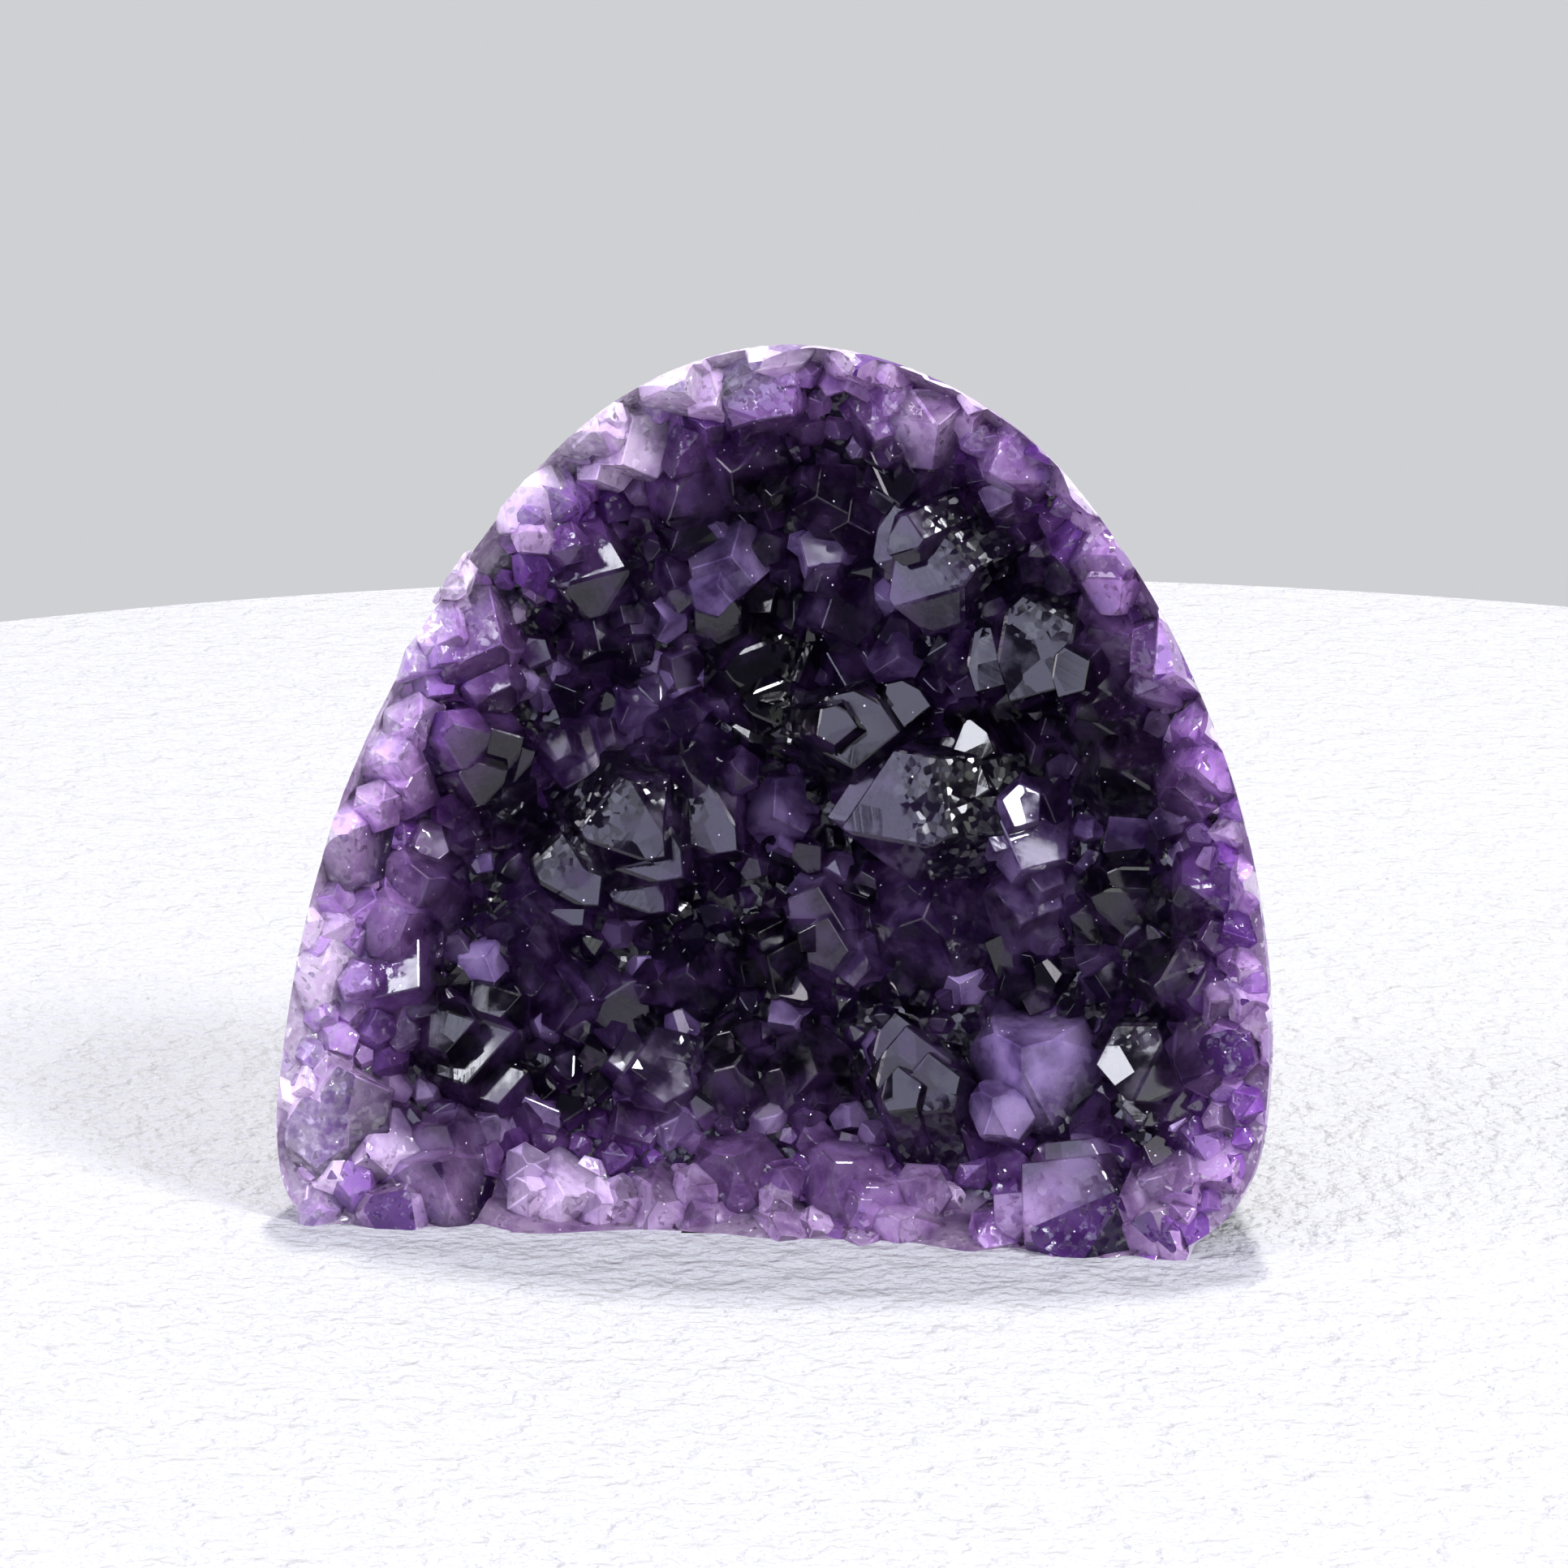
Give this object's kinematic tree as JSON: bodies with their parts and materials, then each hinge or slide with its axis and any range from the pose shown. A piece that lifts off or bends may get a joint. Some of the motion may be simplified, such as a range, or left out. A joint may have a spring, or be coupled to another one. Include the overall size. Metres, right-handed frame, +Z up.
{
  "type": "amethyst cluster",
  "caption": "Free-standing cut base amethyst cluster: a shallow bowl of crystal points on a rock backing, sawn flat underneath.",
  "frame": {"origin": "under the middle of the piece, on the surface that it stands on", "axes": "+X to the right along the width, +Y away from the viewer, into the rock behind the crystals, +Z up"},
  "size_m": [0.0802, 0.0414, 0.0702],
  "materials": {
    "amethyst": "natural crystal faces, with the rim ground and polished",
    "geode_rock": "ground smooth on the sides and base, rough natural back"
  },
  "bodies": {
    "root": {"crystal_crust": "amethyst", "matrix": "geode_rock"}
  },
  "joints": []
}
